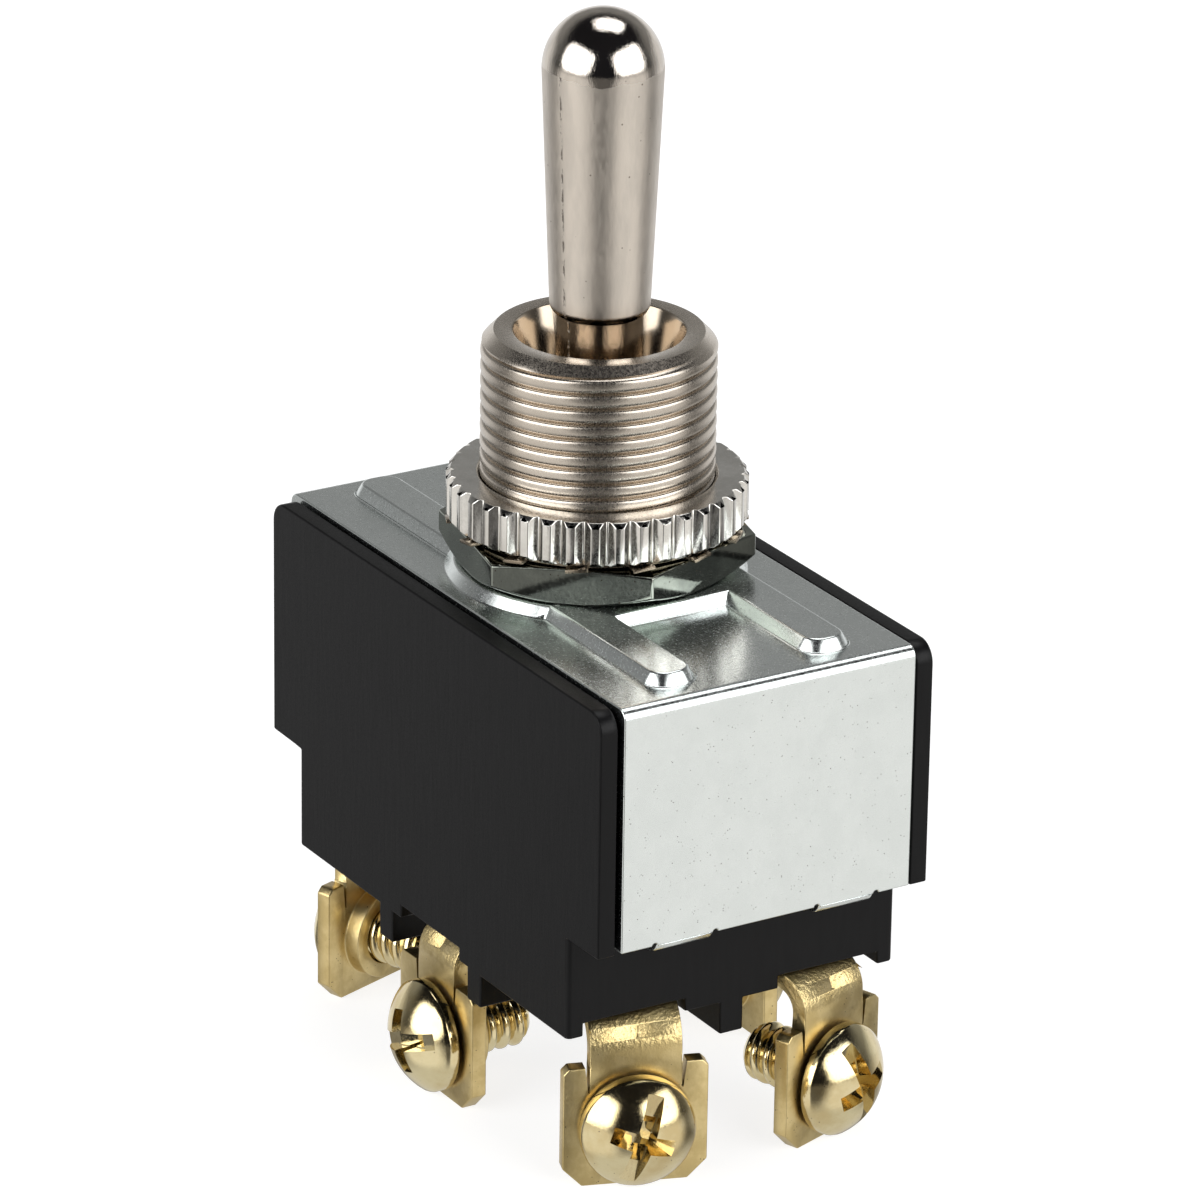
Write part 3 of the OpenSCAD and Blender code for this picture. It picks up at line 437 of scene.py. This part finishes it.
def makeBushing(b):
    bm = threadCoil(b["crest"], b["profile"], b["pitch"], b["lowZ"], b["topZ"], b["steps"])
    chamferR = b["crest"] - b["chamfer"]

    def allowed(z):
        inNut = b["nutMouthR"] - (b["nutTopZ"] - z) - b["nutGap"] if z < b["nutTopZ"] else b["crest"]
        return min(chamferR + (b["topZ"] - z), inNut)

    limitRadius(bm, allowed)
    rim = rimEdges(bm, b["topZ"])
    foot = rimEdges(bm, b["lowZ"])
    # down the mouth, out into the ball's socket, round the flange and up its outside to the thread's foot
    soft = b["round"]
    for radius, z in ((chamferR - b["edge"], b["topZ"]), (b["mouthR"] + 0.10, b["topZ"]),
                      (b["mouthR"] + 0.03, b["topZ"] - 0.03), (b["mouthR"] - 0.02, b["topZ"] - 0.12),
                      (b["throatR"], b["throatZ"]), (b["socketR"], b["socketZ"]), (b["socketR"], b["bottomZ"] + soft),
                      (b["socketR"] + soft, b["bottomZ"]), (b["flangeR"] - soft, b["bottomZ"]),
                      (b["flangeR"], b["bottomZ"] + soft), (b["flangeR"], b["flangeZ"] - soft),
                      (b["flangeR"] - soft, b["flangeZ"]), (b["coreR"], b["flangeZ"]), (b["coreR"], b["lowZ"] - 0.01)):
        rim = drawRing(bm, rim, radius, z)
    bmesh.ops.bridge_loops(bm, edges=rim + foot)
    piece = addPiece(bm, "bushing_threaded", finishes["bushing_nickel"], "base", ("bushing",))
    cutWith(piece, crossPin(b["pinR"], 4 * b["coreR"], b["pinZ"]), "pinHole")


makeBushing(bushing)
print("bushing made")

# lever: handle, neck, ball and stem in one turned outline

lever = {"stemR": 2.0, "stemZ": 20.85, "ballR": 3.85, "pivotZ": 31.25, "neckR": 2.2, "neckZ": 40.65,
         "shoulderZ": 41.35, "shoulderRound": 0.62, "lowR": 2.54, "topR": 3.05, "domeZ": 53.55, "pinR": 0.85,
         "tipRound": 0.15, "steps": 160}


def makeLever(s):
    below = math.degrees(math.asin(s["stemR"] / s["ballR"]))
    above = math.degrees(math.asin(s["neckR"] / s["ballR"]))
    tip = s["tipRound"]
    outline = [(0, s["stemZ"]), (s["stemR"] - tip, s["stemZ"]), (s["stemR"], s["stemZ"] + tip)]
    outline += arc(0, s["pivotZ"], s["ballR"], below - 90, 90 - above, 40)
    outline += [(s["neckR"], s["neckZ"] - 0.05)]
    # the shoulder is a round that leaves the neck sharply and runs into the handle
    outline += arc(s["lowR"] - s["shoulderRound"], s["shoulderZ"] + 0.02, s["shoulderRound"], -62, -3, 10)
    rise = (s["topR"] - s["lowR"]) / (s["domeZ"] - s["shoulderZ"])
    outline += [(s["lowR"] + rise * (z - s["shoulderZ"]), z) for z in (42, 44, 46, 48, 50, 52)]
    outline += arc(0, s["domeZ"], s["topR"], 0, 89.2, 40) + [(0, s["domeZ"] + s["topR"])]
    bm = turned(outline, s["steps"])
    piece = addPiece(bm, "lever_handle", finishes["lever_nickel"], "lever", ("lever",))
    cutWith(piece, crossPin(s["pinR"], 4 * s["ballR"], s["pivotZ"]), "leverHole")


makeLever(lever)
print("lever made")

# nuts, washer, frame and case: the solids' own shapes, with edges sharper than an angle rounded

softened = {
    "hex_nut": {"finish": "hex_nickel", "width": 0.1, "segments": 4, "angle": 28},
    "knurled_nut": {"finish": "nut_nickel", "width": 0.035, "segments": 2, "angle": 20},
    "lock_washer": {"finish": "washer_brass", "width": 0.03, "segments": 2, "angle": 28},
    "frame": {"finish": "frame_zinc", "width": 0.09, "segments": 3, "angle": 24},
    "case": {"finish": "case_plastic", "width": 0.10, "segments": 2, "angle": 28},
}
for node, how in softened.items():
    bm = mergedCopy(node)
    softenEdges(bm, how["width"], how["segments"], how["angle"])
    stayInside(bm, node)
    addPiece(bm, node + "_softened", finishes[how["finish"]], bodyOf[node], (node,),
             sharp=40, weighted=True)
print("nuts, washer, frame and case softened:", len(softened))

# terminals: the solids with softened edges, a slit on each side of the neck and a mark on the bend

terminal = {"edge": 0.07, "segments": 3, "angle": 40, "strip": 0.85, "neckW": 4.7, "sideNeckW": 3.6,
            "wingUp": 3.35, "slitW": 0.3, "slitDeep": 1.4, "slitTaper": 0.25, "bendR": 2.0, "bendUp": 4.05,
            "markX": 0.1, "markLean": 30, "markTurn": 80, "markW": 0.42, "markL": 0.5, "markDeep": 0.14}


def plateFrame(corner):
    # across the plate, up, and out of it, from the middle of its sheet on the screw's axis
    joint = joints["screw_" + corner + "_turn"]
    out = Vector(joint["axis"])
    level = Vector((0, 0, 1)).cross(out)
    upright = Matrix((level, (0, 0, 1), out)).transposed().to_4x4()
    return Matrix.Translation(Vector(joint["pos_m"]) * metre) @ upright


def slitCutter(t, side, neckHalf):
    # a wedge beside the neck, wide at the wing's top
    high = t["wingUp"] + 0.5
    low = t["wingUp"] - t["slitDeep"]
    bm = block((side * (neckHalf + t["slitW"] / 2), (high + low) / 2, 0), (t["slitW"], high - low, 3 * t["strip"]))
    for v in bm.verts:
        if v.co.y < low + 0.1:
            v.co.x = side * (neckHalf + t["slitTaper"] * (abs(v.co.x) - neckHalf))
    return bm


def markPlace(t):
    # the middle of the bend's outside, from the plate's own frame
    lean = math.radians(t["markLean"])
    return Matrix.Translation((t["markX"], t["bendUp"] + t["bendR"] * math.sin(lean),
                               t["strip"] / 2 - t["bendR"] + t["bendR"] * math.cos(lean)))


def makeTerminal(t, corner):
    node = "terminal_" + corner
    piece = addPiece(mergedCopy(node), node + "_softened", finishes["terminal_brass"], bodyOf[node],
                     (node,))
    place = plateFrame(corner)
    neckHalf = t["sideNeckW" if corner.startswith("side") else "neckW"] / 2
    for side in (-1, 1):
        cutter = slitCutter(t, side, neckHalf)
        bmesh.ops.transform(cutter, matrix=place, verts=cutter.verts)
        cutWith(piece, cutter, "slit")
    mark = taperedBar(t["markL"], t["markW"], t["markDeep"], -t["markDeep"], 0.5, 0.1)
    onBend = markPlace(t)
    tilted = (Matrix.Rotation(-math.radians(t["markLean"]), 4, "X")
              @ Matrix.Rotation(math.radians(t["markTurn"]), 4, "Z"))
    bmesh.ops.transform(mark, matrix=place @ onBend @ tilted, verts=mark.verts)
    cutWith(piece, mark, "mark")
    toPlate = place.inverted()

    def ownEdge(edge):
        # the slits and the mark keep their sharp edges
        middle = toPlate @ ((edge.verts[0].co + edge.verts[1].co) / 2)
        atSlitHeight = t["wingUp"] - t["slitDeep"] - 0.2 < middle.y < t["wingUp"] + 0.1
        atSlit = atSlitHeight and abs(abs(middle.x) - neckHalf) < 0.3
        return not atSlit and (middle - onBend.translation).length > 0.7

    bm = bmesh.new()
    bm.from_mesh(piece.data)
    resize(bm, metre)
    softenEdges(bm, t["edge"], t["segments"], t["angle"], ownEdge)
    stayInside(bm, node)
    resize(bm, millimetre)
    bm.to_mesh(piece.data)
    bm.free()
    piece.data.set_sharp_from_angle(angle=math.radians(sharpAngle))


for node in [n for n in nodes if n.startswith("terminal_")]:
    makeTerminal(terminal, node.removeprefix("terminal_"))
print("terminals made")

# terminal screws: a turned dome with a slot and a cross, and a real thread

screw = {"headR": 2.95, "headH": 2.1, "rimH": 0.6, "edge": 0.1, "length": 5.1, "crest": 1.6, "root": 1.24,
         "pitch": 0.79375, "profile": [(0, 0.36), (0.1, 0.2), (0.22, 0.08), (0.36, 0.015), (0.5, 0), (0.64, 0.015),
                                       (0.78, 0.08), (0.9, 0.2)],  # share of the pitch, depth below the crest
         "neck": 0.25, "tip": 0.45, "slotW": 1.0, "slotDeep": 0.9, "crossL": 1.85, "crossW": 1.0,
         "crossDeep": 1.6, "steps": 48, "stand": 0.2}
# how far each slot is turned from level, seen from outside; the first screw is made, the others are its copies
screwTurns = {"front_right": 108, "front_left": 72, "rear_left": 62, "rear_right": 145, "side_left": 18,
              "side_right": 70}


def makeScrew(s, corner):
    domeH = s["headH"] - s["rimH"]
    domeR = (s["headR"] ** 2 + domeH ** 2) / (2 * domeH)
    half = math.degrees(math.asin(s["headR"] / domeR))
    bm = threadCoil(s["crest"], s["profile"], s["pitch"], -s["length"], -s["neck"], s["steps"])
    limitRadius(bm, lambda z: s["crest"] - max(0, s["tip"] - (z + s["length"])))
    rim = rimEdges(bm, -s["neck"])
    foot = rimEdges(bm, -s["length"])
    side = [(s["root"], 0), (s["headR"] - s["edge"], 0), (s["headR"], s["edge"]), (s["headR"], s["rimH"] - 0.06)]
    for radius, z in side + arc(0, s["headH"] - domeR, domeR, 90 - half + 1.5, 89.3, 22):
        rim = drawRing(bm, rim, radius, z)
    bmesh.ops.holes_fill(bm, edges=rim, sides=0)
    bmesh.ops.holes_fill(bm, edges=foot, sides=0)
    name = "screw_" + corner
    piece = addPiece(bm, name + "_threaded", finishes["screw_brass"], name, (name,))
    above = s["headH"] + 1
    cutWith(piece, taperedBar(s["headR"] + 1, s["slotW"], above, s["headH"] - s["slotDeep"], 1, 0.85), "slotCut")
    for turn in (0, 90):
        wing = taperedBar(s["crossL"] * 1.55, s["crossW"] * 1.25, above, s["headH"] - s["crossDeep"], 0.22, 0.45)
        bmesh.ops.rotate(wing, verts=wing.verts, matrix=Matrix.Rotation(math.radians(turn), 3, "Z"))
        cutWith(piece, wing, "crossCut")
    return piece


def copyScrew(first, corner):
    name = "screw_" + corner
    piece = link(name + "_threaded", first.data.copy())
    piece.data.name = piece.name
    register(piece, name, (name,))
    return piece


def seatScrew(piece, corner):
    # from a screw made along +Z, head up, with the underside of its head at z = 0
    seat = Matrix.Translation((0, 0, terminal["strip"] / 2 + screw["stand"]))
    put = plateFrame(corner) @ seat @ Matrix.Rotation(math.radians(screwTurns[corner]), 4, "Z")
    put.translation *= millimetre
    piece.data.transform(put)


firstCorner, *otherCorners = screwTurns
firstScrew = makeScrew(screw, firstCorner)
for corner in otherCorners:
    seatScrew(copyScrew(firstScrew, corner), corner)
seatScrew(firstScrew, firstCorner)
print("screws made:", len(screwTurns))

# stage, light and camera

view = {"turn": 58.71, "rise": 22.164, "roll": 0.844, "lens": 221.26, "place": (0.295743, -0.179483, 0.166171)}


def makeCamera(v):
    data = bpy.data.cameras.new("photoCamera")
    data.lens = v["lens"]
    data.sensor_width = 36
    data.clip_start = 0.01
    data.clip_end = 50
    camera = link("photoCamera", data)
    camera.matrix_world = (Matrix.Translation(v["place"]) @ Matrix.Rotation(math.radians(v["turn"]), 4, "Z")
                           @ Matrix.Rotation(math.radians(90 - v["rise"]), 4, "X")
                           @ Matrix.Rotation(math.radians(v["roll"]), 4, "Z"))
    bpy.context.scene.camera = camera


floorLook = {"half": 2.5, "tone": (0.33, 0.35), "rough": 0.9, "glow": 0.82}


def makeFloor(f):
    bm = bmesh.new()
    bmesh.ops.create_grid(bm, x_segments=8, y_segments=8, size=f["half"])
    floor = link("floor", meshFrom(bm, "floor"))
    material, tree, surface = newMaterial("paleFloor")
    tone = remap(tree, noise(tree, position(tree), 0.02, 2.0, 0.55), 0.3, 0.7, *f["tone"])
    tree.links.new(addNode(tree, "ShaderNodeCombineColor", {0: tone, 1: tone, 2: tone}).outputs[0],
                   surface.inputs["Base Color"])
    surface.inputs["Roughness"].default_value = f["rough"]
    surface.inputs["Emission Color"].default_value = (1, 1, 1, 1)
    surface.inputs["Emission Strength"].default_value = f["glow"]
    floor.data.materials.append(material)
    floor.visible_glossy = False


# the light all round, in degrees: 0 is the camera's side, wide and tall are half of each box
studio = {
    "ground": {"colour": (0.13, 0.125, 0.12), "edge": (-6, 0)},
    "room": (0.014, 0.014, 0.016),
    "corner": 4,  # the power that rounds a box's corners, less for rounder
    "boxes": [
        {"turn": 180, "rise": 18, "wide": 75, "tall": 24, "soft": 0.5, "colour": (1, 1, 0.98), "power": 0.27},
        {"turn": 180, "rise": -10, "wide": 62, "tall": 20, "soft": 0.3, "colour": (1, 1, 1), "power": 0.9},
        {"turn": 0, "rise": -90, "wide": 50, "tall": 50, "soft": 0.3, "colour": (1, 0.99, 0.96), "power": 0.7},
        {"turn": -58, "rise": -24, "wide": 33, "tall": 22, "soft": 0.3, "colour": (1, 0.98, 0.95), "power": 0.95},
        {"turn": 58, "rise": -24, "wide": 33, "tall": 22, "soft": 0.3, "colour": (1, 0.98, 0.95), "power": 0.95},
        {"turn": -56, "rise": 22, "wide": 30, "tall": 22, "soft": 0.16, "colour": (1, 1, 1), "power": 3.4},
        {"turn": 56, "rise": 22, "wide": 30, "tall": 22, "soft": 0.16, "colour": (1, 1, 1), "power": 3.4},
        {"turn": 180, "rise": 73.5, "wide": 19, "tall": 16, "soft": 0.12, "shift": 7, "colour": (1, 1, 1), "power": 3},
    ],
}


def boxMask(tree, direction, box, cameraTurn, corner):
    # 1 inside a box and 0 outside; its middle is turned to +X, where its width and height are read as angles
    turn = math.radians(cameraTurn + box["turn"])
    flat = addNode(tree, "ShaderNodeVectorRotate", {"Vector": direction, "Angle": -turn}, rotation_type="Z_AXIS")
    level = addNode(tree, "ShaderNodeVectorRotate", {"Vector": flat.outputs[0], "Angle": math.radians(box["rise"])},
                    rotation_type="Y_AXIS")
    parts = addNode(tree, "ShaderNodeSeparateXYZ", {"Vector": level.outputs[0]})
    side = mathNode(tree, "ARCTAN2", parts.outputs["Y"], parts.outputs["X"])
    side = total(tree, side, math.radians(box.get("shift", 0)))
    lift = mathNode(tree, "ARCSINE", parts.outputs["Z"])
    reach = []
    for angle, half in ((side, box["wide"]), (lift, box["tall"])):
        share = mathNode(tree, "ABSOLUTE", mathNode(tree, "DIVIDE", angle, math.radians(half)))
        reach.append(mathNode(tree, "POWER", share, corner))
    edge = mathNode(tree, "POWER", total(tree, *reach), 1 / corner)
    return remap(tree, edge, 1 - box["soft"], 1 + box["soft"], 1, 0)


def makeStudio(s, cameraTurn):
    world = bpy.data.worlds.new("studio")
    world.use_nodes = True
    tree = world.node_tree
    bpy.context.scene.world = world
    direction = addNode(tree, "ShaderNodeTexCoord").outputs["Generated"]
    up = addNode(tree, "ShaderNodeSeparateXYZ", {"Vector": direction}).outputs["Z"]
    low, high = (math.sin(math.radians(a)) for a in s["ground"]["edge"])
    light = mixColours(tree, remap(tree, up, low, high, 0, 1), s["ground"]["colour"], s["room"])
    for box in s["boxes"]:
        lit = tuple(c * box["power"] for c in box["colour"])
        light = mixColours(tree, boxMask(tree, direction, box, cameraTurn, s["corner"]), light, lit)
    background = tree.nodes["Background"]
    tree.links.new(light, background.inputs["Color"])
    background.inputs["Strength"].default_value = 1.0


makeCamera(view)
makeFloor(floorLook)
makeStudio(studio, view["turn"] - 90)
bpy.context.scene.view_settings.view_transform = "Standard"
print("stage, light and camera made")
